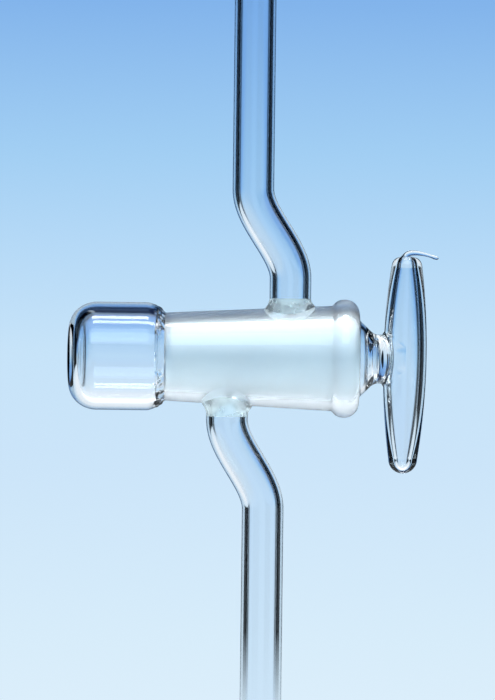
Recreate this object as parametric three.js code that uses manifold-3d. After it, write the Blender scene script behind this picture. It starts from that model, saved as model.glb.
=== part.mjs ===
// A greased high-vacuum glass stopcock: a hollow ground key with a T handle turns in a tapered
// barrel that ends in a closed vacuum cup, and two bent arms meet the key's oblique bore.
// Millimetres. +X runs along the key axis to the handle, +Z up the upper arm, and the origin is
// on the key axis, midway between the two arm seals.
import * as THREE from 'three';
import { mergeVertices } from 'three/addons/utils/BufferGeometryUtils.js';
import Module from 'manifold-3d';

const wasm = await Module();
wasm.setup();

// Ground joint: one taper for key, grease film and barrel bore.
const PLUG_DIAMETER = 18.8;
const PLUG_TAPER = 0.1;
const PLUG_LARGE_X = 21.2;
const PLUG_SMALL_X = -20.1;
const PLUG_WALL = 1.5;
const FILM_GAP = 0.1;
const FILM_THICKNESS = 0.1;

// Barrel, its rolled mouth and the vacuum cup on its small end.
const BARREL_SMALL_X = -20.5;
const BARREL_LARGE_X = 15.9;
const BARREL_RADIUS = 10.72;
const BARREL_SLOPE = 0.0517;
const BEAD_RADIUS = 12.95;
const MOUTH_X = 22;
const CUP_OPEN_X = -23;
const CUP_END_X = -41.9;
const CUP_RADIUS = 11.85;
const CUP_CORNER = 5.8;
const CUP_WALL = 2.3;

// Oblique bore through the key.
const BORE_RADIUS = 2;
const BORE_TUBE_RADIUS = 3.2;
const BORE_TILT = THREE.MathUtils.degToRad(34);
const FUSE_GAP = 0.3;

// Arms: each leaves the barrel off centre and bends back towards the middle.
const ARM_RADIUS = 4.55;
const ARM_BORE_RADIUS = 3.4;
const ARM_REACH = 90;
const ARM_ROOT_X = 6.8;
const ARM_ROOT_Z = 13;
const ARM_BEND_LENGTH = 19.6;
const ARM_BEND_STEPS = 14;
const ARM_SIDES = 24;
const PORT_RADIUS = 2.8;
const WELD_RADIUS = 4.95;
const ARMS = {
  upper: { side: 1, lineX: -1.6, bendStart: 17.4 },
  lower: { side: -1, lineX: 1.3, bendStart: 13.6 },
};

// T handle: a hollow spindle across the key axis, leaning a little.
const NECK_X = 26.4;
const NECK_RADIUS = 5.35;
const HANDLE_X = 32.4;
const HANDLE_LEAN = THREE.MathUtils.degToRad(0.9);
const HANDLE_RADIUS = 4.75;
const HANDLE_THINNING = 0.0033;
const HANDLE_WALL = 1.35;
const HANDLE_TOP = 20;
const HANDLE_BOTTOM = -20.4;
const HANDLE_TIP_TOP = 22.6;
const HANDLE_TIP_BOTTOM = -25;
const TAIL_RADIUS = 0.5;

// Sides of a round piece, and pieces of each curve in an outline.
const ROUND = 40;
const HANDLE_ROUND = 24;
const CURVE_STEPS = 4;

const CLEAR_GLASS = { color: 0xd3ebf5, roughness: 0.04, metalness: 0 };
const GROUND_GLASS = { color: 0xe6f2f3, roughness: 0.5, metalness: 0 };
const GREASE = { color: 0xf2f3e6, roughness: 0.35, metalness: 0 };

const plugRadius = (x) => (PLUG_DIAMETER - PLUG_TAPER * (PLUG_LARGE_X - x)) / 2;
const boreRadius = (x) => plugRadius(x) + 2 * FILM_GAP + FILM_THICKNESS;
const barrelRadius = (x) => BARREL_RADIUS + BARREL_SLOPE * x;
const handleRadius = (height) => HANDLE_RADIUS - HANDLE_THINNING * height * height;

// An outline is drawn with x as the radius and y as the place along the axis, counter-clockwise.
function outline(draw, divisions = CURVE_STEPS) {
  const path = new THREE.Path();
  draw(path);
  return path.getPoints(divisions);
}

function revolve(points, segments = ROUND) {
  return new THREE.LatheGeometry(points, segments);
}

function revolveAlongX(points) {
  return revolve(points).rotateZ(-Math.PI / 2);
}

function revolveAlongZ(points, segments = ROUND) {
  return revolve(points, segments).rotateX(Math.PI / 2);
}

function cylinderAlongZ(radius, bottom, top, segments = ROUND) {
  const points = outline((path) => path.moveTo(0, bottom).lineTo(radius, bottom).lineTo(radius, top).lineTo(0, top));
  return revolveAlongZ(points, segments);
}

// manifold-3d wants shared vertices and no triangle that has shrunk to a line.
function solidOf(geometry) {
  const bare = geometry.clone();
  bare.deleteAttribute('normal');
  bare.deleteAttribute('uv');
  const merged = mergeVertices(bare);
  const corners = merged.index.array;
  const triVerts = [];
  for (let i = 0; i < corners.length; i += 3) {
    const [a, b, c] = corners.slice(i, i + 3);
    if (a !== b && b !== c && c !== a) triVerts.push(a, b, c);
  }
  const vertProperties = new Float32Array(merged.attributes.position.array);
  return new wasm.Manifold(new wasm.Mesh({ numProp: 3, vertProperties, triVerts: new Uint32Array(triVerts) }));
}

function geometryOf(solid) {
  const { vertProperties, triVerts } = solid.getMesh();
  const geometry = new THREE.BufferGeometry();
  geometry.setAttribute('position', new THREE.BufferAttribute(vertProperties, 3));
  geometry.setIndex(new THREE.BufferAttribute(triVerts, 1));
  return geometry;
}

function piece(name, geometry, look) {
  const mesh = new THREE.Mesh(geometry, new THREE.MeshStandardMaterial(look));
  mesh.name = name;
  return mesh;
}

// A rod through the origin along the key's oblique bore.
function obliqueRod(radius) {
  return solidOf(cylinderAlongZ(radius, -20, 20, ARM_SIDES).rotateY(BORE_TILT));
}

function portRod(side) {
  const [bottom, top] = side > 0 ? [0, 20] : [-20, 0];
  return solidOf(cylinderAlongZ(PORT_RADIUS, bottom, top, ARM_SIDES).translate(side * ARM_ROOT_X, 0, 0));
}

function taperedRing(inner, outer, from, to) {
  return revolveAlongX(outline((path) => path
    .moveTo(inner(from), from)
    .lineTo(outer(from), from)
    .lineTo(outer(to), to)
    .lineTo(inner(to), to)
    .lineTo(inner(from), from)));
}

function barrelShell() {
  const ring = solidOf(taperedRing(boreRadius, barrelRadius, BARREL_SMALL_X, BARREL_LARGE_X));
  return geometryOf(ring.subtract(portRod(1)).subtract(portRod(-1)));
}

function mouthBead() {
  const root = barrelRadius(BARREL_LARGE_X);
  const lip = boreRadius(MOUTH_X);
  return revolveAlongX(outline((path) => path
    .moveTo(boreRadius(BARREL_LARGE_X), BARREL_LARGE_X)
    .lineTo(root, BARREL_LARGE_X)
    .quadraticCurveTo(BEAD_RADIUS - 0.6, 16.3, BEAD_RADIUS, 18.6)
    .bezierCurveTo(BEAD_RADIUS, 20.6, 11.9, MOUTH_X, 10.7, MOUTH_X)
    .quadraticCurveTo(lip, MOUTH_X, boreRadius(20.8), 20.8)
    .lineTo(boreRadius(BARREL_LARGE_X), BARREL_LARGE_X)));
}

function cupWeldRing() {
  return revolveAlongX(outline((path) => path
    .moveTo(8.9, CUP_OPEN_X)
    .lineTo(11.45, CUP_OPEN_X)
    .quadraticCurveTo(10.9, -21, barrelRadius(BARREL_SMALL_X), BARREL_SMALL_X)
    .lineTo(boreRadius(BARREL_SMALL_X), BARREL_SMALL_X)
    .quadraticCurveTo(7.8, -22.4, 8.9, CUP_OPEN_X)));
}

function vacuumCup() {
  const inner = CUP_RADIUS - CUP_WALL;
  const floor = CUP_END_X + CUP_WALL;
  const corner = CUP_CORNER - CUP_WALL;
  return revolveAlongX(outline((path) => path
    .moveTo(0, CUP_END_X)
    .lineTo(CUP_RADIUS - CUP_CORNER, CUP_END_X + 0.3)
    .absarc(CUP_RADIUS - CUP_CORNER, CUP_END_X + 0.3 + CUP_CORNER, CUP_CORNER, -Math.PI / 2, 0)
    .lineTo(CUP_RADIUS, -25)
    .quadraticCurveTo(CUP_RADIUS, -23.6, 11.45, CUP_OPEN_X)
    .lineTo(8.9, CUP_OPEN_X)
    .quadraticCurveTo(inner, -23.8, inner, -25.4)
    .lineTo(inner, floor + 0.4 + corner)
    .absarc(inner - corner, floor + 0.4 + corner, corner, 0, -Math.PI / 2, true)
    .lineTo(0, floor), 3));
}

// The seal between an arm and the barrel: a collar whose foot follows the barrel.
function armWeld({ side }) {
  const collar = outline((path) => path
    .moveTo(ARM_BORE_RADIUS, 7)
    .lineTo(WELD_RADIUS, 7)
    .lineTo(WELD_RADIUS, ARM_ROOT_Z - 1)
    .quadraticCurveTo(WELD_RADIUS, ARM_ROOT_Z - 0.3, ARM_RADIUS, ARM_ROOT_Z)
    .lineTo(ARM_BORE_RADIUS, ARM_ROOT_Z)
    .lineTo(ARM_BORE_RADIUS, 7));
  const upright = revolveAlongZ(collar, ARM_SIDES);
  if (side < 0) upright.rotateX(Math.PI);
  const foot = (x) => barrelRadius(x) + FUSE_GAP;
  const barrel = outline((path) => path.moveTo(0, -15).lineTo(foot(-15), -15).lineTo(foot(15), 15).lineTo(0, 15));
  return geometryOf(solidOf(upright.translate(side * ARM_ROOT_X, 0, 0)).subtract(solidOf(revolveAlongX(barrel))));
}

// The centre line of an arm. Its stations crowd into the bend, where they are needed.
class ArmLine extends THREE.Curve {
  constructor({ side, lineX, bendStart }) {
    super();
    Object.assign(this, { side, lineX, bendStart });
  }

  heightAt(station) {
    const bendEnd = this.bendStart + ARM_BEND_LENGTH;
    if (station < 1) return THREE.MathUtils.lerp(ARM_ROOT_Z, this.bendStart, station);
    const past = station - 1 - ARM_BEND_STEPS;
    if (past > 0) return THREE.MathUtils.lerp(bendEnd, ARM_REACH, past);
    return THREE.MathUtils.lerp(this.bendStart, bendEnd, (station - 1) / ARM_BEND_STEPS);
  }

  getPoint(t, target = new THREE.Vector3()) {
    const height = this.heightAt(t * (ARM_BEND_STEPS + 2));
    const bent = THREE.MathUtils.smoothstep(height, this.bendStart, this.bendStart + ARM_BEND_LENGTH);
    const x = THREE.MathUtils.lerp(this.side * ARM_ROOT_X, this.lineX, bent);
    return target.set(x, 0, this.side * height);
  }

  getUtoTmapping(u) {
    return u;
  }
}

function circle(radius, sides) {
  const corner = (_, i) => new THREE.Vector2(radius, 0).rotateAround(new THREE.Vector2(), i * 2 * Math.PI / sides);
  return Array.from({ length: sides }, corner);
}

function armTube(arm) {
  const section = new THREE.Shape(circle(ARM_RADIUS, ARM_SIDES));
  section.holes.push(new THREE.Path(circle(ARM_BORE_RADIUS, ARM_SIDES)));
  return new THREE.ExtrudeGeometry(section, { steps: ARM_BEND_STEPS + 2, extrudePath: new ArmLine(arm) });
}

function greaseFilm() {
  const inner = (x) => plugRadius(x) + FILM_GAP;
  const outer = (x) => inner(x) + FILM_THICKNESS;
  const film = solidOf(taperedRing(inner, outer, PLUG_SMALL_X + 1, PLUG_LARGE_X - 1));
  return geometryOf(film.subtract(obliqueRod(BORE_TUBE_RADIUS)));
}

function plugShell() {
  const ring = solidOf(taperedRing((x) => plugRadius(x) - PLUG_WALL, plugRadius, PLUG_SMALL_X, PLUG_LARGE_X));
  return geometryOf(ring.subtract(obliqueRod(BORE_TUBE_RADIUS + FUSE_GAP)));
}

function plugNose() {
  const radius = plugRadius(PLUG_SMALL_X);
  const vent = 1;
  const tip = PLUG_SMALL_X - 2.6;
  return revolveAlongX(outline((path) => path
    .moveTo(vent, tip)
    .lineTo(radius - 3.2, tip)
    .quadraticCurveTo(radius - 0.2, tip, radius, PLUG_SMALL_X)
    .lineTo(radius - PLUG_WALL, PLUG_SMALL_X)
    .quadraticCurveTo(radius - PLUG_WALL - 0.2, tip + 1.3, radius - 4, tip + 1.3)
    .lineTo(vent, tip + 1.3)
    .lineTo(vent, tip)));
}

// The oblique passage that carries the gas across the hollow key, trimmed to the key's cone.
function boreTube() {
  const cone = outline((path) => path
    .moveTo(0, -12)
    .lineTo(plugRadius(-12), -12)
    .lineTo(plugRadius(12), 12)
    .lineTo(0, 12));
  const tube = obliqueRod(BORE_TUBE_RADIUS).subtract(obliqueRod(BORE_RADIUS));
  return geometryOf(tube.intersect(solidOf(revolveAlongX(cone))));
}

function plugShoulder() {
  const inner = 3;
  return revolveAlongX(outline((path) => path
    .moveTo(plugRadius(PLUG_LARGE_X) - PLUG_WALL, PLUG_LARGE_X)
    .lineTo(plugRadius(PLUG_LARGE_X), PLUG_LARGE_X)
    .lineTo(7.1, 23.6)
    .quadraticCurveTo(5.5, 25.2, NECK_RADIUS, NECK_X)
    .lineTo(inner, NECK_X)
    .quadraticCurveTo(4.2, 24.4, 5.6, 23)
    .lineTo(plugRadius(PLUG_LARGE_X) - PLUG_WALL, PLUG_LARGE_X)));
}

function leanWithHandle(geometry) {
  return geometry.rotateY(HANDLE_LEAN).translate(HANDLE_X, 0, 0);
}

// The wall of the spindle, from its bottom cut to its top cut, at a given offset from its skin.
function spindleLine(offset, from, to) {
  const steps = 8;
  return Array.from({ length: steps + 1 }, (_, i) => {
    const height = THREE.MathUtils.lerp(from, to, i / steps);
    return new THREE.Vector2(handleRadius(height) + offset, height);
  });
}

function uprightRevolve(points) {
  return leanWithHandle(revolveAlongZ(points, HANDLE_ROUND));
}

function handleBar() {
  const skin = spindleLine(0, HANDLE_BOTTOM, HANDLE_TOP);
  const bore = spindleLine(-HANDLE_WALL, HANDLE_TOP, HANDLE_BOTTOM);
  return uprightRevolve([...skin, ...bore, skin[0]]);
}

function handleNeck() {
  const end = NECK_X + 2;
  const stub = outline((path) => path
    .moveTo(0, NECK_X)
    .lineTo(NECK_RADIUS, NECK_X)
    .quadraticCurveTo(NECK_RADIUS, NECK_X + 1.2, NECK_RADIUS + 0.3, end)
    .lineTo(0, end));
  const room = spindleLine(FUSE_GAP, -15, 15);
  const spindle = uprightRevolve([new THREE.Vector2(0, -15), ...room, new THREE.Vector2(0, 15)]);
  return geometryOf(solidOf(revolveAlongX(stub)).subtract(solidOf(spindle)));
}

function handleLowerEnd() {
  const radius = handleRadius(HANDLE_BOTTOM);
  return uprightRevolve(outline((path) => path
    .moveTo(0, HANDLE_TIP_BOTTOM)
    .bezierCurveTo(2.2, HANDLE_TIP_BOTTOM, radius - 0.3, -23.4, radius, HANDLE_BOTTOM)
    .lineTo(radius - HANDLE_WALL, HANDLE_BOTTOM)
    .quadraticCurveTo(radius - HANDLE_WALL - 0.2, -22, 0, -22)));
}

function handleUpperEnd() {
  const radius = handleRadius(HANDLE_TOP);
  return uprightRevolve(outline((path) => path
    .moveTo(0, 20.9)
    .quadraticCurveTo(radius - HANDLE_WALL - 0.3, 20.9, radius - HANDLE_WALL, HANDLE_TOP)
    .lineTo(radius, HANDLE_TOP)
    .bezierCurveTo(radius - 0.3, HANDLE_TOP + 1.8, 2, HANDLE_TIP_TOP, 0, HANDLE_TIP_TOP)));
}

function handleTail() {
  const thread = new THREE.CatmullRomCurve3([
    new THREE.Vector3(31.2, 0, 23.4),
    new THREE.Vector3(33.2, 0, 24),
    new THREE.Vector3(36, 0, 23.4),
    new THREE.Vector3(39.1, 0, 22.8),
  ]);
  return new THREE.ExtrudeGeometry(new THREE.Shape(circle(TAIL_RADIUS, 8)), { steps: 8, extrudePath: thread });
}

function barrelBody() {
  const body = new THREE.Group();
  body.add(piece('barrel_shell', barrelShell(), GROUND_GLASS));
  body.add(piece('mouth_bead', mouthBead(), CLEAR_GLASS));
  body.add(piece('cup_weld_ring', cupWeldRing(), CLEAR_GLASS));
  body.add(piece('vacuum_cup', vacuumCup(), CLEAR_GLASS));
  for (const [place, arm] of Object.entries(ARMS)) {
    body.add(piece(`${place}_arm`, armTube(arm), CLEAR_GLASS));
    body.add(piece(`${place}_arm_weld`, armWeld(arm), CLEAR_GLASS));
  }
  return body;
}

function keyBody() {
  const body = new THREE.Group();
  body.add(piece('plug_shell', plugShell(), GROUND_GLASS));
  body.add(piece('plug_nose', plugNose(), CLEAR_GLASS));
  body.add(piece('bore_tube', boreTube(), CLEAR_GLASS));
  body.add(piece('plug_shoulder', plugShoulder(), CLEAR_GLASS));
  body.add(piece('handle_neck', handleNeck(), CLEAR_GLASS));
  body.add(piece('handle_bar', handleBar(), CLEAR_GLASS));
  body.add(piece('handle_upper_end', handleUpperEnd(), CLEAR_GLASS));
  body.add(piece('handle_lower_end', handleLowerEnd(), CLEAR_GLASS));
  body.add(piece('handle_tail', handleTail(), CLEAR_GLASS));
  return body;
}

const stopcock = new THREE.Group();
stopcock.add(barrelBody(), piece('grease_film', greaseFilm(), GREASE), keyBody());

export default stopcock;
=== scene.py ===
import math

import bmesh
import bpy
from mathutils import Matrix, Vector, noise


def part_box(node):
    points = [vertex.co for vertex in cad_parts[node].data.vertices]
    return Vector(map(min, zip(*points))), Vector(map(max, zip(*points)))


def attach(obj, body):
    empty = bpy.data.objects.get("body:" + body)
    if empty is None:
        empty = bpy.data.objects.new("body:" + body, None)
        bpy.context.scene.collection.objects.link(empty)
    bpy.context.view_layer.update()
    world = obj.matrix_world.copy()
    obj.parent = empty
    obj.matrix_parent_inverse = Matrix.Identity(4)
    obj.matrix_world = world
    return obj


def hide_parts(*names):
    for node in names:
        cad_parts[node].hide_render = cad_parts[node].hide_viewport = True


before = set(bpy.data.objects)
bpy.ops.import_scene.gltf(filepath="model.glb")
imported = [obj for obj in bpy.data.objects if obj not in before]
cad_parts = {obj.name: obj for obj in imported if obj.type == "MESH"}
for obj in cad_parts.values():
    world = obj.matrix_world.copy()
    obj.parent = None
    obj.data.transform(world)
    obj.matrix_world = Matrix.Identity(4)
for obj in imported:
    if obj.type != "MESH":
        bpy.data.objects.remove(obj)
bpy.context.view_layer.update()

# A greased glass stopcock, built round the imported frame: every CAD node is replaced by one fine
# piece of its own. The outlines below are in metres, as (place along the axis, radius). A piece is
# closed, and where two pieces are fused in the real glass their meeting faces are "seam" faces,
# which let light straight through, so the fused glass reads as one.
MM = 0.001

# Without a fixed seed the lumps of worked glass differ from run to run.
LUMP_SEED = 4
noise.seed_set(LUMP_SEED)

CLEAR, GROUND, SEAM, WORKED = range(4)      # the order of GLASSES
SIDES = 160                                 # corners round the barrel, the cup and the key
TAPER_ROWS = 34                             # rings of corners along a ground taper
WELD_SIDES = 96                             # corners round the arms, the welds and the handle
TAIL_SIDES = 24
ON_AXIS = 1e-7                              # an outline point nearer the axis is a single corner
SHARP = math.radians(32)                    # edges that turn further than this stay sharp

# Sizes that the CAD boxes don't give. Both slopes are radius lost per length.
TAPER = 0.05
BARREL_SLOPE = 0.0517
FILM_GAP = 0.05 * MM
FILM_THICKNESS = 0.05 * MM
PLUG_WALL = 1.5 * MM
CUP_WALL = 2.3 * MM
CUP_FLOOR = 2.25 * MM
TUBE_WALL = 1.27 * MM
BEND_LENGTH = 19.6 * MM
BEND_START = {"upper": 17.4 * MM, "lower": 13.6 * MM}
PORT_RADIUS = 2.8 * MM
BORE_RADIUS = 2.0 * MM
BORE_TUBE_RADIUS = 3.2 * MM
BORE_TILT = math.radians(34)
WELD_MARGIN = 0.6 * MM                      # how far an arm's weld spreads past its CAD collar
LUMP_SPACING = 1.3 * MM                     # from one lump of worked glass to the next

# The key's hollow ends in a dome just inside the neck.
NECK_RADIUS = 5.35 * MM
DOME_X = 24.9 * MM
DOME_LENGTH = 1.7 * MM
DOME_RADIUS = 3.4 * MM

# The handle: a spindle whose radius falls, and whose wall grows, with the square of the height
# above its middle. The saddle is the oval in which the neck meets it.
HANDLE_LEAN = math.radians(0.6)
HANDLE_SHIFT = -0.3 * MM
HANDLE_THINNING = 3.3
HANDLE_WALL = 1.4 * MM
HANDLE_WALL_GROWTH = 0.8
HANDLE_TOP = 20.0 * MM
HANDLE_BOTTOM = -20.4 * MM
SADDLE_HALF_WIDTH = 3.7 * MM
SADDLE_HALF_HEIGHT = 6.2 * MM

# Cutters run from inside the barrel's bore to well outside the barrel.
CUTTER_START = 2 * MM
CUTTER_REACH = 20 * MM


def lowest(node):
    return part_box(node)[0]


def highest(node):
    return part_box(node)[1]


PLUG_LARGE = highest("plug_shell")
PLUG_SMALL_X = lowest("plug_shell").x
BARREL_LARGE = highest("barrel_shell")
BARREL_SMALL_X = lowest("barrel_shell").x
MOUTH = highest("mouth_bead")
CUP_END = lowest("vacuum_cup")
CUP_OPEN_X = highest("vacuum_cup").x
NECK_X = highest("plug_shoulder").x
HANDLE_X = (lowest("handle_bar").x + highest("handle_bar").x) / 2 + HANDLE_SHIFT
HANDLE_RADIUS = highest("handle_bar").y
HANDLE_NEAR_X = HANDLE_X - 2 * HANDLE_RADIUS


def plug_radius(x):
    return PLUG_LARGE.z - TAPER * (PLUG_LARGE.x - x)


def hollow_radius(x):
    return plug_radius(x) - PLUG_WALL


def bore_radius(x):
    return plug_radius(x) + 2 * FILM_GAP + FILM_THICKNESS


def barrel_radius(x):
    return BARREL_LARGE.z - BARREL_SLOPE * (BARREL_LARGE.x - x)


def handle_radius(height):
    return HANDLE_RADIUS - HANDLE_THINNING * height * height


def handle_bore(height):
    return handle_radius(height) - HANDLE_WALL - HANDLE_WALL_GROWTH * height * height


# ---------------------------------------------------------------- outlines

def line(start, end, pieces=1):
    start, end = Vector(start), Vector(end)
    return [start.lerp(end, i / pieces) for i in range(pieces + 1)]


def ellipse(centre, half, start, end, pieces=16):
    """An elliptical arc. half is its half sizes along the axis and outwards, and 0 degrees is outwards."""
    points = []
    for i in range(pieces + 1):
        angle = math.radians(start + (end - start) * i / pieces)
        points.append(Vector((centre[0] + half[0] * math.sin(angle), centre[1] + half[1] * math.cos(angle))))
    return points


def cubic(a, b, c, d, t):
    return (1 - t) ** 3 * a + 3 * t * (1 - t) ** 2 * b + 3 * t * t * (1 - t) * c + t ** 3 * d


def bezier(a, b, c, d, pieces=16):
    a, b, c, d = Vector(a), Vector(b), Vector(c), Vector(d)
    return [cubic(a, b, c, d, i / pieces) for i in range(pieces + 1)]


def chain(*runs):
    """One polyline from several that meet end to end."""
    points = list(runs[0])
    for run in runs[1:]:
        points += run[1:]
    return points


def smooth(t):
    t = min(max(t, 0), 1)
    return t * t * (3 - 2 * t)


def bisect(near, far, is_near):
    """The place between near and far where is_near stops holding."""
    for _ in range(40):
        middle = (near + far) / 2
        if is_near(middle):
            near = middle
        else:
            far = middle
    return near


# ---------------------------------------------------------------- meshes

SIDEWAYS = Vector((0, 1, 0))
ALONG_X = Matrix.Identity(4)
ALONG_Z = Matrix.Rotation(math.radians(-90), 4, "Y")
HANDLE = Matrix.Translation((HANDLE_X, 0, 0)) @ Matrix.Rotation(HANDLE_LEAN, 4, "Y") @ ALONG_Z


def angles(sides):
    return [2 * math.pi * i / sides for i in range(sides)]


def hoop(centre, along, reach, sides):
    """A ring of corners square to a centre line that stays in the plane of the arms."""
    across = SIDEWAYS.cross(along)
    return [centre + reach * (math.cos(a) * across + math.sin(a) * SIDEWAYS) for a in angles(sides)]


def ring_maker(place, sides):
    """Turns outline points into rings of corners, and gives the same ring for the same point."""
    made = {}

    def ring(point):
        key = (round(point[0], 9), round(point[1], 9))
        if key not in made:
            count = sides if point[1] > ON_AXIS else 1
            made[key] = [place @ Vector((point[0], point[1] * math.sin(a), point[1] * math.cos(a)))
                         for a in angles(sides)[:count]]
        return made[key]

    return ring


def mesh_from_bands(name, bands):
    """A closed mesh from bands, each (material, [ring, ring, ...]). Bands share the rings they meet at."""
    bm = bmesh.new()
    corners = {}
    for material, rings in bands:
        for ring in rings:
            if id(ring) not in corners:
                corners[id(ring)] = [bm.verts.new(p) for p in ring]
        for low, high in zip(rings, rings[1:]):
            a, b = corners[id(low)], corners[id(high)]
            count = max(len(a), len(b))
            for i in range(count):
                j = (i + 1) % count
                loop = [a[i % len(a)], a[j % len(a)], b[j % len(b)], b[i % len(b)]]
                face = bm.faces.new(list(dict.fromkeys(loop)))
                face.material_index = material
    bmesh.ops.recalc_face_normals(bm, faces=bm.faces)
    mesh = bpy.data.meshes.new(name)
    bm.to_mesh(mesh)
    bm.free()
    return mesh


def shade(mesh):
    """Smooth shading, with the true edges kept sharp."""
    bm = bmesh.new()
    bm.from_mesh(mesh)
    for face in bm.faces:
        face.smooth = True
    for edge in bm.edges:
        edge.smooth = edge.calc_face_angle(0) < SHARP
    bm.to_mesh(mesh)
    bm.free()


def new_object(name, mesh):
    obj = bpy.data.objects.new(name, mesh)
    bpy.context.scene.collection.objects.link(obj)
    for material in GLASSES:
        obj.data.materials.append(material)
    return obj


def revolved(name, strokes, place=ALONG_X, sides=SIDES, roughen=None):
    """A solid of revolution from strokes, each (material, [points]). roughen moves each corner."""
    ring = ring_maker(place, sides)
    bands = [(material, [ring(p) for p in points]) for material, points in strokes]
    if roughen:
        for corners in {id(r): r for _, rings in bands for r in rings}.values():
            corners[:] = [roughen(p) for p in corners]
    return new_object(name, mesh_from_bands(name, bands))


def rod(radius, start, end, place):
    """A solid rod along a placed axis, to cut with."""
    return revolved("cutter", [
        (SEAM, chain(line((start, 0), (start, radius)), line((start, radius), (end, radius)),
                     line((end, radius), (end, 0)))),
    ], place=place, sides=WELD_SIDES)


def cut(target, cutter):
    """Takes cutter out of target. The cut faces keep the cutter's material."""
    modifier = target.modifiers.new("cut", "BOOLEAN")
    modifier.operation = "DIFFERENCE"
    modifier.solver = "EXACT"
    modifier.object = cutter
    graph = bpy.context.evaluated_depsgraph_get()
    mesh = bpy.data.meshes.new_from_object(target.evaluated_get(graph))
    target.modifiers.clear()
    target.data = mesh
    bpy.data.objects.remove(cutter)


def wobble(point, size):
    """How far the lumps of hand-worked glass, of this size in metres, move a point."""
    return noise.noise_vector(point / LUMP_SPACING) * size


def finish_piece(obj, body, node):
    """Hands a piece to its body, as glass that casts no shadow."""
    shade(obj.data)
    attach(obj, body)
    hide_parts(node)
    obj.visible_shadow = False


# ---------------------------------------------------------------- materials

def node_tree(name):
    material = bpy.data.materials.new(name)
    material.use_nodes = True
    tree = material.node_tree
    shader = tree.nodes["Principled BSDF"]
    return material, tree, shader


def glass_tree(name, colour, transmission, ior=1.473):
    material, tree, shader = node_tree(name)
    shader.inputs["Base Color"].default_value = (*colour, 1.0)
    shader.inputs["IOR"].default_value = ior
    shader.inputs["Transmission Weight"].default_value = transmission
    return material, tree, shader


def add(tree, kind, **settings):
    node = tree.nodes.new(kind)
    for key, value in settings.items():
        setattr(node, key, value)
    return node


def stretched_noise(tree, stretch, scale, detail=3.0):
    """Noise in the object's own metres, stretched by a vector."""
    place = add(tree, "ShaderNodeTexCoord")
    mapping = add(tree, "ShaderNodeMapping")
    mapping.inputs["Scale"].default_value = stretch
    texture = add(tree, "ShaderNodeTexNoise")
    texture.inputs["Scale"].default_value = scale
    texture.inputs["Detail"].default_value = detail
    tree.links.new(place.outputs["Object"], mapping.inputs["Vector"])
    tree.links.new(mapping.outputs["Vector"], texture.inputs["Vector"])
    return texture.outputs["Fac"]


def ranged(tree, value, low, high, start=0.3, end=0.7):
    """Low where the value is at start or below, high where it is at end or above."""
    node = add(tree, "ShaderNodeMapRange")
    node.inputs["From Min"].default_value = start
    node.inputs["From Max"].default_value = end
    node.inputs["To Min"].default_value = low
    node.inputs["To Max"].default_value = high
    tree.links.new(value, node.inputs["Value"])
    return node.outputs["Result"]


def bump(tree, shader, height, distance, strength=1.0):
    node = add(tree, "ShaderNodeBump")
    node.inputs["Distance"].default_value = distance
    node.inputs["Strength"].default_value = strength
    tree.links.new(height, node.inputs["Height"])
    tree.links.new(node.outputs["Normal"], shader.inputs["Normal"])


def clear_glass():
    """Fire-polished borosilicate glass, faintly wavy as drawn tube is, with a trace of haze."""
    material, tree, shader = glass_tree("clear_glass", (0.94, 0.97, 1.0), 1.0)
    haze = stretched_noise(tree, (1, 1, 1), 90.0, 4.0)
    tree.links.new(ranged(tree, haze, 0.0, 0.02, 0.5, 0.8), shader.inputs["Roughness"])
    waves = stretched_noise(tree, (1, 1, 0.35), 220.0, 1.0)
    bump(tree, shader, waves, 0.02 * MM, 0.3)
    return material


def worked_glass():
    """Glass that has been melted together by hand: a little hazy, lumpy and greener than the drawn tube."""
    material, tree, shader = glass_tree("worked_glass", (0.90, 0.99, 1.0), 0.72)
    haze = stretched_noise(tree, (1, 1, 1), 500.0, 3.0)
    tree.links.new(ranged(tree, haze, 0.10, 0.34), shader.inputs["Roughness"])
    bump(tree, shader, haze, 0.1 * MM, 0.3)
    return material


def ground_glass():
    """The ground taper: frosted, with fine scratches running round the axis."""
    material, tree, shader = glass_tree("ground_glass", (0.93, 0.99, 1.0), 0.9)
    grind = stretched_noise(tree, (30, 1, 1), 160.0, 6.0)
    tree.links.new(ranged(tree, grind, 0.32, 0.44), shader.inputs["Roughness"])
    bump(tree, shader, grind, 0.02 * MM, 0.6)
    return material


def seam_glass():
    """The face where two pieces of glass are fused, which isn't there in the real glass."""
    material, _, shader = node_tree("fused_seam")
    shader.inputs["Alpha"].default_value = 0.0
    return material


def grease():
    """A thin smeared film of silicone grease, thicker in streaks round the key."""
    material, tree, shader = glass_tree("grease", (0.95, 0.985, 1.0), 0.72, ior=1.4)
    smear = stretched_noise(tree, (6, 1, 1), 120.0, 4.0)
    tree.links.new(ranged(tree, smear, 0.35, 0.6), shader.inputs["Roughness"])
    bump(tree, shader, smear, 0.02 * MM, 0.4)
    return material


GLASSES = [clear_glass(), ground_glass(), seam_glass(), worked_glass()]


# ---------------------------------------------------------------- barrel side

def barrel_shell():
    small, large = BARREL_SMALL_X, BARREL_LARGE.x
    shell = revolved("barrel_shell_glass", [
        (GROUND, line((small, bore_radius(small)), (large, bore_radius(large)), TAPER_ROWS)),
        (SEAM, line((large, bore_radius(large)), (large, barrel_radius(large)))),
        (CLEAR, line((large, barrel_radius(large)), (small, barrel_radius(small)), TAPER_ROWS)),
        (SEAM, line((small, barrel_radius(small)), (small, bore_radius(small)))),
    ])
    for place in ("upper", "lower"):
        cut(shell, weld_cutter(place))
    finish_piece(shell, "barrel", "barrel_shell")


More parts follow.
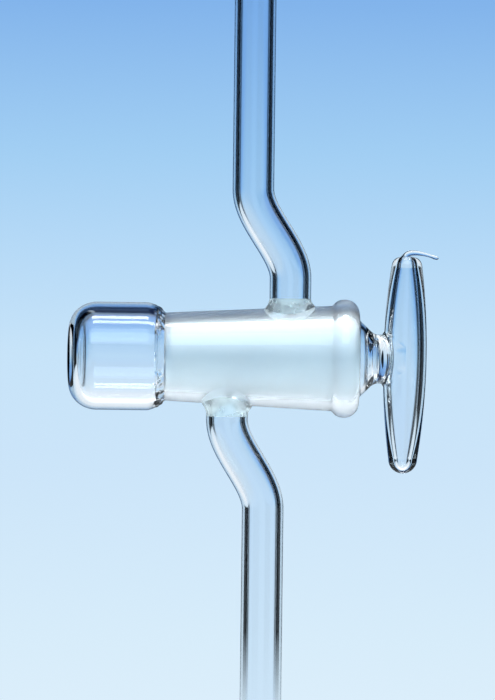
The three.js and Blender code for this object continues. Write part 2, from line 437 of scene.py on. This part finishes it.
def mouth_bead():
    root = BARREL_LARGE.x
    crest = root + 3.0 * MM
    roll = 9.9 * MM
    lip = MOUTH.x - 0.9 * MM
    bead = revolved("mouth_bead_glass", [
        (GROUND, line((lip, bore_radius(lip)), (root, bore_radius(root)), 5)),
        (SEAM, line((root, bore_radius(root)), (root, barrel_radius(root)))),
        (CLEAR, chain(
            bezier((root, barrel_radius(root)), (root + 0.5 * MM, barrel_radius(root)),
                   (root + 0.7 * MM, MOUTH.z), (crest, MOUTH.z)),
            ellipse((crest, roll), (MOUTH.x - crest, MOUTH.z - roll), 0, 90, 20),
            bezier((MOUTH.x, roll), (MOUTH.x, roll - 0.3 * MM),
                   (lip + 0.5 * MM, bore_radius(lip) + 0.02 * MM), (lip, bore_radius(lip)), 8),
        )),
    ])
    finish_piece(bead, "barrel", "mouth_bead")


def cup_weld_ring():
    """The seal between the barrel and the cup. It is lumpy in patches above and below, and calm between."""
    wide, narrow = CUP_OPEN_X, BARREL_SMALL_X
    outer = highest("cup_weld_ring").z
    inner = outer - CUP_WALL
    lump, patch_spacing = 0.5 * MM, 5.5 * MM
    calm_middle, calm_reach = 0.8 * MM, 2.5 * MM

    def lumpy(point):
        t = (point.x - wide) / (narrow - wide)
        patchy = smooth(2.2 * noise.noise(point / patch_spacing) + 0.6)
        patchy *= smooth((abs(point.z - calm_middle) - calm_reach) / calm_reach)
        return point + wobble(point, lump * patchy * smooth(4 * t) * smooth(4 * (1 - t)))

    ring = revolved("cup_weld_ring_glass", [
        (CLEAR, bezier((narrow, bore_radius(narrow)), (narrow - 1.0 * MM, bore_radius(narrow) + 0.1 * MM),
                       (wide + 0.8 * MM, inner - 0.9 * MM), (wide, inner), 12)),
        (SEAM, line((wide, inner), (wide, outer))),
        (CLEAR, bezier((wide, outer), (wide + 1.0 * MM, outer - 0.5 * MM),
                       (narrow - 0.6 * MM, barrel_radius(narrow) + 0.5 * MM),
                       (narrow, barrel_radius(narrow)), 12)),
        (SEAM, line((narrow, barrel_radius(narrow)), (narrow, bore_radius(narrow)))),
    ], roughen=lumpy)
    finish_piece(ring, "barrel", "cup_weld_ring")


def vacuum_cup():
    radius, end, wide = highest("vacuum_cup").z, CUP_END.x, CUP_OPEN_X
    outer = highest("cup_weld_ring").z
    bow = 0.3 * MM
    corner = Vector((end + bow + 6.2 * MM, radius - 5.6 * MM))
    inner = radius - CUP_WALL
    floor = end + CUP_FLOOR
    shoulder = wide - 2.0 * MM
    flat = 3 * MM
    cup = revolved("vacuum_cup_glass", [
        (CLEAR, chain(
            bezier((end, 0), (end, flat), (end + bow, corner.y - 2 * MM), (end + bow, corner.y), 10),
            ellipse(corner, (corner.x - end - bow, radius - corner.y), -90, 0, 28),
            line((corner.x, radius), (shoulder, radius), 10),
            bezier((shoulder, radius), (shoulder + 0.9 * MM, radius),
                   (wide - 0.8 * MM, outer + 0.3 * MM), (wide, outer), 12),
        )),
        (SEAM, line((wide, outer), (wide, outer - CUP_WALL))),
        (CLEAR, chain(
            bezier((wide, outer - CUP_WALL), (wide - 0.8 * MM, outer - CUP_WALL + 0.3 * MM),
                   (shoulder + 0.6 * MM, inner), (shoulder, inner), 12),
            line((shoulder, inner), (corner.x, inner), 10),
            ellipse(corner, (corner.x - floor - bow, inner - corner.y), 0, -90, 24),
            bezier((floor + bow, corner.y), (floor + bow, corner.y - 2 * MM), (floor, flat), (floor, 0), 10),
        )),
    ])
    finish_piece(cup, "barrel", "vacuum_cup")


def arm_place(place):
    """Which side an arm is on, the x of its root and of its straight part, and its radius."""
    low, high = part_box(f"{place}_arm")
    radius = high.y
    side = 1 if place == "upper" else -1
    ends = (low.x + radius, high.x - radius)
    line_x, root_x = ends if place == "upper" else ends[::-1]
    return side, root_x, line_x, radius


def arm_root_z(place):
    low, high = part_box(f"{place}_arm_weld")
    return high.z if place == "upper" else -low.z


def weld_radius(place):
    _, root_x, _, _ = arm_place(place)
    return highest(f"{place}_arm_weld").x - root_x + WELD_MARGIN


def weld_cutter(place):
    side, root_x, _, _ = arm_place(place)
    start, end = sorted((side * CUTTER_START, side * CUTTER_REACH))
    return rod(weld_radius(place), start, end, Matrix.Translation((root_x, 0, 0)) @ ALONG_Z)


def arm_weld(place):
    """The seal: it fills its hole in the barrel's wall, and flares from there up to the arm's end."""
    side, root_x, _, radius = arm_place(place)
    foot, top = weld_radius(place), arm_root_z(place)
    bore = radius - TUBE_WALL
    port_lump, flare_lump, patch_lump = 0.12 * MM, 0.16 * MM, 0.04 * MM

    def ring(reach, height_at, lump=0.0):
        corners = []
        for angle in angles(WELD_SIDES):
            x = root_x + reach * math.sin(angle)
            y = reach * math.cos(angle)
            point = Vector((x, y, side * height_at(x, y)))
            corners.append(point + wobble(point, lump))
        return corners

    def on_barrel(x, y):
        return math.sqrt(barrel_radius(x) ** 2 - y * y)

    def on_bore(x, y):
        return math.sqrt(bore_radius(x) ** 2 - y * y)

    def between(low, high, t):
        return lambda x, y: low(x, y) + (high(x, y) - low(x, y)) * t

    def at_top(x, y):
        return top

    port, flare = [], []
    steps = 12
    for i in range(steps + 1):
        t = i / steps
        swell = math.sin(math.pi * i / steps)
        port.append(ring(PORT_RADIUS + (bore - PORT_RADIUS) * smooth(t), between(on_bore, at_top, t),
                         port_lump * swell))
        flare.append(ring(radius + (foot - radius) * t ** 2, between(at_top, on_barrel, t),
                          flare_lump * swell))
    sunk = ring(foot, on_bore)
    patch = [ring(foot + (PORT_RADIUS - foot) * i / 6, on_bore, patch_lump * math.sin(math.pi * i / 6))
             for i in range(1, 6)]
    weld = new_object(f"{place}_arm_weld_glass", mesh_from_bands("weld", [
        (WORKED, port),
        (SEAM, [port[-1], flare[0]]),
        (WORKED, flare),
        (SEAM, [flare[-1], sunk]),
        (SEAM, [sunk, *patch, port[0]]),
    ]))
    finish_piece(weld, "barrel", f"{place}_arm_weld")


def arm(place):
    """A bent tube. Its centre line swings from its root on the barrel to its own line in one smooth S."""
    side, root_x, line_x, radius = arm_place(place)
    low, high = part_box(f"{place}_arm")
    start, end = (low.z, high.z) if place == "upper" else (-high.z, -low.z)
    bend = BEND_START[place]
    step = 0.05 * MM
    heights = [p.x for p in chain(
        line((start, 0), (bend, 0), 3),
        line((bend, 0), (bend + BEND_LENGTH, 0), 48),
        line((bend + BEND_LENGTH, 0), (end, 0), 24),
    )]

    def centre(height):
        swung = smooth((height - bend) / BEND_LENGTH)
        return Vector((root_x + (line_x - root_x) * swung, 0, side * height))

    def rings(reach):
        made = []
        for height in heights:
            along = (centre(height + step) - centre(height - step)).normalized()
            made.append(hoop(centre(height), along, reach, WELD_SIDES))
        return made

    outer = rings(radius)
    inner = rings(radius - TUBE_WALL)
    tube = new_object(f"{place}_arm_glass", mesh_from_bands("arm", [
        (SEAM, [inner[0], outer[0]]),
        (CLEAR, [*outer, inner[-1]]),
        (CLEAR, inner[::-1]),
    ]))
    finish_piece(tube, "barrel", f"{place}_arm")


# ---------------------------------------------------------------- key side

def bore_reach(angle, radius, skin, way):
    """How far along the oblique bore a line at this angle and distance from its centre meets a cone."""
    along = Vector((math.sin(BORE_TILT), 0, math.cos(BORE_TILT))) * way
    across = Vector((math.cos(BORE_TILT), 0, -math.sin(BORE_TILT)))
    start = radius * (math.cos(angle) * across + math.sin(angle) * SIDEWAYS)

    def within(reach):
        point = start + along * reach
        return math.hypot(point.y, point.z) < skin(point.x)

    return start + along * bisect(0.0, CUTTER_REACH, within)


def bore_tube():
    """The passage through the key, from one ground port to the other."""
    def ring(radius, skin, way):
        return [bore_reach(angle, radius, skin, way) for angle in angles(WELD_SIDES)]

    outer = [ring(BORE_TUBE_RADIUS, skin, way)
             for skin, way in ((plug_radius, -1), (hollow_radius, -1), (hollow_radius, 1), (plug_radius, 1))]
    inner = [ring(BORE_RADIUS, plug_radius, way) for way in (-1, 1)]
    tube = new_object("bore_tube_glass", mesh_from_bands("bore_tube", [
        (GROUND, [inner[0], outer[0]]),
        (SEAM, outer[:2]),
        (CLEAR, outer[1:3]),
        (SEAM, outer[2:]),
        (GROUND, [outer[3], inner[1]]),
        (CLEAR, [inner[1], inner[0]]),
    ]))
    finish_piece(tube, "key", "bore_tube")


def bore_cutter():
    tilt = Matrix.Rotation(BORE_TILT, 4, "Y") @ ALONG_Z
    return rod(BORE_TUBE_RADIUS, -CUTTER_REACH, CUTTER_REACH, tilt)


def plug_shell():
    small, large = PLUG_SMALL_X, PLUG_LARGE.x
    shell = revolved("plug_shell_glass", [
        (CLEAR, line((large, hollow_radius(large)), (small, hollow_radius(small)), TAPER_ROWS)),
        (SEAM, line((small, hollow_radius(small)), (small, plug_radius(small)))),
        (GROUND, line((small, plug_radius(small)), (large, plug_radius(large)), TAPER_ROWS)),
        (SEAM, line((large, plug_radius(large)), (large, hollow_radius(large)))),
    ])
    cut(shell, bore_cutter())
    finish_piece(shell, "key", "plug_shell")


def plug_nose():
    """The key's closed small end, nearly flat, with its vent. It stays short of the lumpy ring weld."""
    root, radius, hollow = PLUG_SMALL_X, plug_radius(PLUG_SMALL_X), hollow_radius(PLUG_SMALL_X)
    tip = root - 1.1 * MM
    floor = tip + 1.0 * MM
    flat, floor_flat = radius - 1.2 * MM, radius - 2.6 * MM
    vent = 1.0 * MM
    nose = revolved("plug_nose_glass", [
        (SEAM, line((root, hollow), (root, radius))),
        (CLEAR, chain(
            bezier((root, radius), (root - 0.6 * MM, radius - 0.03 * MM),
                   (tip, radius - 0.4 * MM), (tip, flat)),
            line((tip, flat), (tip, vent), 4),
            line((tip, vent), (floor, vent), 2),
            line((floor, vent), (floor, floor_flat), 4),
            bezier((floor, floor_flat), (floor, radius - 2.0 * MM),
                   (floor + 0.04 * MM, hollow - 0.1 * MM), (root, hollow), 8),
        )),
    ])
    finish_piece(nose, "key", "plug_nose")


def dome_radius(x):
    return DOME_RADIUS * math.sqrt(max(1 - ((x - DOME_X) / DOME_LENGTH) ** 5, 0))


def plug_shoulder():
    """The cone from the ground part down to the neck. Its hollow runs parallel to it, then to the dome."""
    large, wide, hollow = PLUG_LARGE.x, plug_radius(PLUG_LARGE.x), hollow_radius(PLUG_LARGE.x)

    def at(ahead, inward):
        return large + ahead * MM, wide - inward * MM

    slope_start, slope_end = at(0.9, 0.95), at(2.3, 2.25)
    hollow_start, hollow_end = at(0.6, 2.08), at(1.6, 3.0)
    shoulder = revolved("plug_shoulder_glass", [
        (SEAM, line((large, hollow), (large, wide))),
        (CLEAR, chain(
            bezier((large, wide), at(0.35, 0), at(0.55, 0.5), slope_start, 8),
            line(slope_start, slope_end, 3),
            bezier(slope_end, at(3.3, 3.2), (NECK_X - 1.3 * MM, NECK_RADIUS), (NECK_X, NECK_RADIUS), 14),
        )),
        (SEAM, line((NECK_X, NECK_RADIUS), (NECK_X, dome_radius(NECK_X)))),
        (CLEAR, chain(
            [Vector((x, dome_radius(x))) for x in (NECK_X + (DOME_X - NECK_X) * i / 12 for i in range(13))],
            bezier((DOME_X, DOME_RADIUS), (DOME_X - 0.9 * MM, DOME_RADIUS),
                   at(2.4, 3.75), hollow_end, 16),
            line(hollow_end, hollow_start, 3),
            bezier(hollow_start, at(0.35, 1.85), (large + 0.3 * MM, hollow), (large, hollow), 6),
        )),
    ])
    finish_piece(shoulder, "key", "plug_shoulder")


def saddle():
    return [(SADDLE_HALF_WIDTH * math.sin(a), SADDLE_HALF_HEIGHT * math.cos(a)) for a in angles(WELD_SIDES)]


def on_handle(y, z, skin):
    """Where a line along the key axis meets the near side of the handle's outer skin or its bore."""
    to_handle = HANDLE.inverted()

    def short_of_it(x):
        local = to_handle @ Vector((x, y, z))
        return math.hypot(local.y, local.z) > skin(local.x)

    return Vector((bisect(HANDLE_NEAR_X, HANDLE_X, short_of_it), y, z))


def handle_neck():
    """Solid glass from the key's shoulder to the handle, fused through the handle's wall."""
    def circle(x, radius):
        return [Vector((x, radius * math.sin(a), radius * math.cos(a))) for a in angles(WELD_SIDES)]

    start = circle(NECK_X, NECK_RADIUS)
    outside = [on_handle(y, z, handle_radius) for y, z in saddle()]
    inside = [on_handle(y, z, handle_bore) for y, z in saddle()]
    fillet = [start]
    steps = 14
    for k in range(1, steps):
        row = []
        for a, b in zip(start, outside):
            first = a + Vector((0.9 * MM, 0, 0))
            last = Vector((b.x - 0.5 * MM, b.y * 0.9, b.z * 0.88))
            row.append(cubic(a, first, last, b, k / steps))
        fillet.append(row)
    fillet.append(outside)
    lining = [inside]
    rows = 8
    for k in range(rows - 1, 0, -1):
        lining.append([on_handle(y * k / rows, z * k / rows, handle_bore) for y, z in saddle()])
    lining.append([on_handle(0, 0, handle_bore)])
    deep = DOME_X + DOME_LENGTH
    bowl = [[Vector((deep, 0, 0))]]
    for k in range(1, rows + 1):
        x = deep + (NECK_X - deep) * (k / rows) ** 2
        bowl.append(circle(x, dome_radius(x)))
    neck = new_object("handle_neck_glass", mesh_from_bands("neck", [
        (CLEAR, bowl),
        (SEAM, [bowl[-1], start]),
        (CLEAR, fillet),
        (SEAM, [outside, inside]),
        (CLEAR, lining),
    ]))
    finish_piece(neck, "key", "handle_neck")


def saddle_cutter():
    near, far = [[Vector((x, y, z)) for y, z in saddle()] for x in (HANDLE_NEAR_X, HANDLE_X)]
    near_end, far_end = [[Vector((x, 0, 0))] for x in (HANDLE_NEAR_X, HANDLE_X)]
    return new_object("cutter", mesh_from_bands("cutter", [(SEAM, [near_end, near, far, far_end])]))


def spindle(skin, start, end, rows=40):
    """The outline of the handle's outer skin or of its bore between two heights."""
    return [Vector((h, skin(h))) for h in (start + (end - start) * i / rows for i in range(rows + 1))]


def handle_bar():
    skin = spindle(handle_radius, HANDLE_BOTTOM, HANDLE_TOP)
    bore = spindle(handle_bore, HANDLE_TOP, HANDLE_BOTTOM)
    bar = revolved("handle_bar_glass", [
        (CLEAR, skin),
        (SEAM, [skin[-1], bore[0]]),
        (CLEAR, bore),
        (SEAM, [bore[-1], skin[0]]),
    ], place=HANDLE, sides=WELD_SIDES)
    cut(bar, saddle_cutter())
    finish_piece(bar, "key", "handle_bar")


def handle_lower_end():
    bore = handle_bore(HANDLE_BOTTOM)
    dome, tip, wall = -21.9 * MM, -25.05 * MM, 1.35 * MM
    end = revolved("handle_lower_end_glass", [
        (SEAM, line((HANDLE_BOTTOM, bore), (HANDLE_BOTTOM, handle_radius(HANDLE_BOTTOM)))),
        (CLEAR, chain(spindle(handle_radius, HANDLE_BOTTOM, dome, 4),
                      ellipse((dome, 0), (dome - tip, handle_radius(dome)), 0, -90, 28))),
        (CLEAR, chain(ellipse((dome, 0), (dome - tip - wall, handle_bore(dome)), -90, 0, 20),
                      spindle(handle_bore, dome, HANDLE_BOTTOM, 4))),
    ], place=HANDLE, sides=WELD_SIDES)
    finish_piece(end, "key", "handle_lower_end")


def handle_upper_end():
    radius = handle_radius(HANDLE_TOP)
    bore = handle_bore(HANDLE_TOP)
    tip, hollow_tip = 22.6 * MM, HANDLE_TOP + 1.9 * MM
    end = revolved("handle_upper_end_glass", [
        (SEAM, line((HANDLE_TOP, bore), (HANDLE_TOP, radius))),
        (CLEAR, bezier((HANDLE_TOP, radius), (HANDLE_TOP + 1.9 * MM, radius - 0.2 * MM),
                       (tip, radius - 0.9 * MM), (tip, 0), 24)),
        (CLEAR, bezier((hollow_tip, 0), (hollow_tip, bore - 0.3 * MM),
                       (HANDLE_TOP + 1.2 * MM, bore - 0.05 * MM), (HANDLE_TOP, bore), 20)),
    ], place=HANDLE, sides=WELD_SIDES)
    finish_piece(end, "key", "handle_upper_end")


def handle_tail():
    """The thread of glass left where the handle's end was drawn off, arching over to a small bead."""
    low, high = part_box("handle_tail")
    root = Vector((low.x + 0.5 * MM, 0, 22.0 * MM))
    rise = Vector((low.x + 1.2 * MM, 0, high.z - 0.3 * MM))
    over = Vector((low.x + 4.3 * MM, 0, high.z - 1.1 * MM))
    tip = Vector((high.x - 0.4 * MM, 0, low.z))
    steps = 40
    run = bezier(root, rise, over, tip, steps)

    def thickness(t):
        root_swelling = 0.1 * MM * (1 - smooth(t * 5))
        thinning = 0.26 * MM * smooth((t - 0.3) * 1.6)
        bead = 0.12 * MM * math.exp(-((t - 0.96) / 0.04) ** 2)
        return 0.6 * MM + root_swelling - thinning + bead

    rings = []
    for i, point in enumerate(run):
        along = (run[min(i + 1, steps)] - run[max(i - 1, 0)]).normalized()
        rings.append(hoop(point, along, thickness(i / steps), TAIL_SIDES))
    last = run[-1]
    cap = (last - run[-2]).normalized() * 0.42 * MM
    closing = [[last + cap * math.sin(t) + (p - last) * math.cos(t) for p in rings[-1]]
               for t in (math.radians(18 * k) for k in range(1, 5))]
    tail = new_object("handle_tail_glass", mesh_from_bands("tail", [
        (CLEAR, [[run[0]], *rings, *closing, [last + cap]]),
    ]))
    finish_piece(tail, "key", "handle_tail")


def grease_film():
    margin = 1 * MM
    small, large = PLUG_SMALL_X + margin, PLUG_LARGE.x - margin

    def inner(x):
        return plug_radius(x) + FILM_GAP

    def outer(x):
        return inner(x) + FILM_THICKNESS

    film = revolved("grease_film_smear", [
        (CLEAR, chain(line((small, inner(small)), (large, inner(large)), TAPER_ROWS),
                      line((large, inner(large)), (large, outer(large))),
                      line((large, outer(large)), (small, outer(small)), TAPER_ROWS),
                      line((small, outer(small)), (small, inner(small))))),
    ])
    cut(film, bore_cutter())
    film.data.materials.clear()
    film.data.materials.append(grease())
    for face in film.data.polygons:
        face.material_index = 0
    finish_piece(film, "grease", "grease_film")


# ---------------------------------------------------------------- studio

FLOOR_Z = -0.5
BOWL_RADIUS = 2.4
BOWL_TOP = 4.2
BOWL_SWEEP = 0.8
BOWL_SIDES = 128

# Colour of the backdrop by the sine of its height above the horizon, as light.
SKY = [
    (-1.00, (0.86, 0.93, 0.99)),
    (-0.34, (0.91, 0.96, 1.00)),
    (-0.20, (0.74, 0.87, 0.97)),
    (-0.13, (0.68, 0.84, 0.96)),
    (-0.05, (0.60, 0.78, 0.95)),
    (0.00, (0.57, 0.77, 0.945)),
    (0.045, (0.47, 0.70, 0.93)),
    (0.09, (0.36, 0.62, 0.90)),
    (0.16, (0.22, 0.45, 0.83)),
    (0.26, (0.20, 0.42, 0.80)),
    (0.36, (0.15, 0.35, 0.72)),
    (0.42, (0.08, 0.20, 0.50)),
    (0.50, (0.01, 0.02, 0.06)),
    (0.85, (0.01, 0.02, 0.06)),
    (0.93, (0.30, 0.36, 0.42)),
]


def maths(tree, operation, *values):
    """A Math node fed by numbers and by the outputs of other nodes."""
    node = add(tree, "ShaderNodeMath", operation=operation)
    for socket, value in zip(node.inputs, values):
        if isinstance(value, (int, float)):
            socket.default_value = value
        else:
            tree.links.new(value, socket)
    return node.outputs[0]


def backdrop_material():
    """A pale blue backdrop that gives its own light: whiter towards the floor and dark overhead.

    Some of it is only for light that comes through or off the object, not for the camera's direct
    view: dark flags in three of the four corners, which draw the dark edges in the tubes, a steeper
    fall of colour towards the corners, and a glow under the object. Plain mirror reflections of
    the backdrop are dulled."""
    material, tree, shader = node_tree("backdrop")
    tree.nodes.remove(shader)
    place = add(tree, "ShaderNodeTexCoord")
    direction = add(tree, "ShaderNodeVectorMath", operation="NORMALIZE")
    tree.links.new(place.outputs["Object"], direction.inputs[0])
    parts = add(tree, "ShaderNodeSeparateXYZ")
    tree.links.new(direction.outputs["Vector"], parts.inputs["Vector"])
    x, y, z = (parts.outputs[axis] for axis in "XYZ")
    path = add(tree, "ShaderNodeLightPath")
    indirect = maths(tree, "SUBTRACT", 1.0, path.outputs["Is Camera Ray"])
    mirrored = maths(tree, "MULTIPLY", path.outputs["Is Glossy Ray"],
                     maths(tree, "SUBTRACT", 1.0, path.outputs["Is Transmission Ray"]))

    # 1 along the key axis and square to it, 0 in the four corners between.
    turn = maths(tree, "ARCTAN2", y, x)
    from_corner = maths(tree, "ABSOLUTE", maths(tree, "COSINE", maths(tree, "MULTIPLY", turn, 2.0)))

    ramp = add(tree, "ShaderNodeValToRGB")
    stops = ramp.color_ramp.elements
    while len(stops) < len(SKY):
        stops.new(0.5)
    for stop, (height, colour) in zip(stops, SKY):
        stop.position = (height + 1) / 2
        stop.color = (*colour, 1)
    steeper = maths(tree, "MULTIPLY", ranged(tree, from_corner, 0.4, 0.0, 0.80, 0.97), indirect)
    above = maths(tree, "MAXIMUM", maths(tree, "ADD", z, 0.2), 0.0)
    height = maths(tree, "MULTIPLY_ADD", steeper, above, z)
    tree.links.new(maths(tree, "MULTIPLY_ADD", height, 0.5, 0.5), ramp.inputs["Fac"])

    flag = ranged(tree, from_corner, 1.0, 0.0, 0.66, 0.80)
    over_floor = ranged(tree, z, 0.0, 1.0, -0.17, -0.13)
    open_corner = ranged(tree, maths(tree, "SUBTRACT", x, y), 1.0, 0.0, 0.7, 1.0)
    dark = maths(tree, "MULTIPLY", maths(tree, "MULTIPLY", flag, over_floor),
                 maths(tree, "MULTIPLY", indirect, open_corner))
    glow = maths(tree, "MULTIPLY_ADD", ranged(tree, z, 0.9, 0.0, -0.85, -0.55), indirect, 1.0)
    dulling = maths(tree, "MULTIPLY_ADD", mirrored, -0.75, 1.0)
    strength = maths(tree, "MULTIPLY", maths(tree, "SUBTRACT", glow, dark), dulling)
    light = add(tree, "ShaderNodeEmission")
    tree.links.new(ramp.outputs["Color"], light.inputs["Color"])
    tree.links.new(strength, light.inputs["Strength"])
    tree.links.new(light.outputs["Emission"], tree.nodes["Material Output"].inputs["Surface"])
    material.cycles.emission_sampling = "NONE"
    return material


def backdrop():
    """A floor that sweeps up into a round wall, so that any camera near the object has it behind."""
    ring = ring_maker(ALONG_Z, BOWL_SIDES)
    flat, wall_foot = BOWL_RADIUS - BOWL_SWEEP, FLOOR_Z + BOWL_SWEEP
    points = chain(
        line((FLOOR_Z, 0), (FLOOR_Z, flat), 12),
        ellipse((wall_foot, flat), (BOWL_SWEEP, BOWL_SWEEP), -90, 0, 24),
        line((wall_foot, BOWL_RADIUS), (BOWL_TOP, BOWL_RADIUS), 8),
    )
    mesh = mesh_from_bands("backdrop", [(0, [ring(p) for p in points])])
    mesh.materials.append(backdrop_material())
    bowl = bpy.data.objects.new("backdrop", mesh)
    bpy.context.scene.collection.objects.link(bowl)


def softbox(name, place, turn, size, radiance, colour=(1, 1, 1)):
    """A rectangular light. It starts facing down, and turn is a rotation about each axis."""
    light = bpy.data.lights.new(name, "AREA")
    light.shape = "RECTANGLE"
    light.size, light.size_y = size
    light.energy = radiance * math.pi * size[0] * size[1]
    light.color = colour
    lamp = bpy.data.objects.new(name, light)
    lamp.location = place
    lamp.rotation_euler = turn
    bpy.context.scene.collection.objects.link(lamp)


def studio():
    backdrop()
    softbox("top_softbox", (0, 0, 1.6), (0, 0, 0), size=(0.8, 0.24), radiance=13.0)
    softbox("front_fill", (0, -1.3, 1.3), (math.radians(45), 0, 0), size=(1.6, 1.0), radiance=2.4,
            colour=(0.72, 0.90, 1.0))
    world = bpy.data.worlds.new("room")
    world.use_nodes = True
    world.node_tree.nodes["Background"].inputs["Color"].default_value = (0.25, 0.32, 0.40, 1)
    scene = bpy.context.scene
    scene.world = world
    scene.view_settings.view_transform = "Standard"
    scene.cycles.max_bounces = 32
    scene.cycles.transmission_bounces = 28
    scene.cycles.transparent_max_bounces = 48


def camera():
    """Level with the barrel, square to the key axis, and rolled as the stopcock hangs a little askew."""
    distance = 0.6
    frame_height = 153.65 * MM
    aim_x, aim_z = -2.46 * MM, 1.64 * MM
    roll = math.radians(-0.7)
    data = bpy.data.cameras.new("camera")
    data.sensor_fit = "VERTICAL"
    data.sensor_height = 24
    data.lens = data.sensor_height * distance / frame_height
    eye = bpy.data.objects.new("camera", data)
    eye.location = (aim_x, -distance, aim_z)
    eye.rotation_euler = (math.radians(90), roll, 0)
    bpy.context.scene.collection.objects.link(eye)
    bpy.context.scene.camera = eye


def barrel_side():
    barrel_shell()
    mouth_bead()
    cup_weld_ring()
    vacuum_cup()
    for place in ("upper", "lower"):
        arm(place)
        arm_weld(place)


def key_side():
    plug_shell()
    plug_nose()
    bore_tube()
    plug_shoulder()
    handle_neck()
    handle_bar()
    handle_upper_end()
    handle_lower_end()
    handle_tail()


barrel_side()
grease_film()
key_side()
studio()
camera()

bpy.context.view_layer.update()
